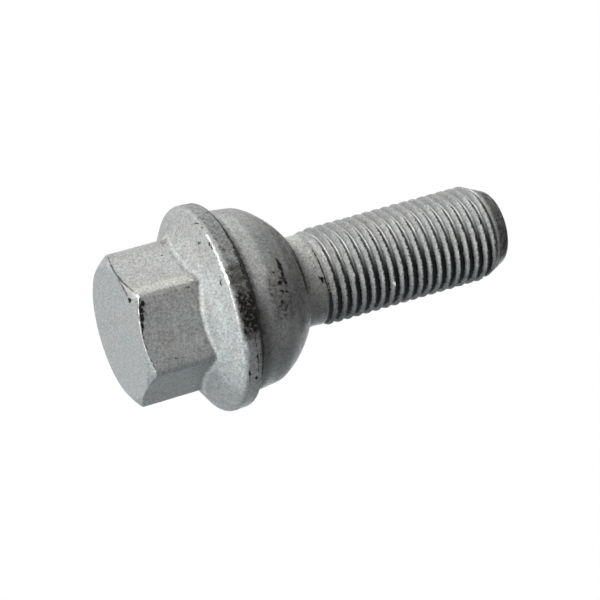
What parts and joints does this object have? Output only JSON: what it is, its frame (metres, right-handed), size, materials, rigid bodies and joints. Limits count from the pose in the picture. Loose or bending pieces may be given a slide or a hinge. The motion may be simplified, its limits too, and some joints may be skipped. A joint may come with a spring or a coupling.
{
  "type": "wheel bolt",
  "caption": "One-piece forged wheel bolt: hexagon head with a chamfered end, a wide conical flange, a ball seat and a fully threaded shank with a tapered point.",
  "frame": {"origin": "Middle of the head's flat end face, the lowest point of the bolt as it stands on its head.", "axes": "+Z runs along the bolt's axis from the head to the tip, +X is the outward normal of one flat of the hexagon, and +Y completes the right-handed frame."},
  "size_m": [0.029, 0.0292, 0.0583],
  "materials": {
    "zinc_flake_steel": "Dull grey zinc-flake coating with a fine grain, worn bright along the flange's front edge, with dark scuffs on the rim, the ball and the hexagon's end."
  },
  "bodies": {
    "root": {"wheel_bolt": "zinc_flake_steel"}
  },
  "joints": []
}
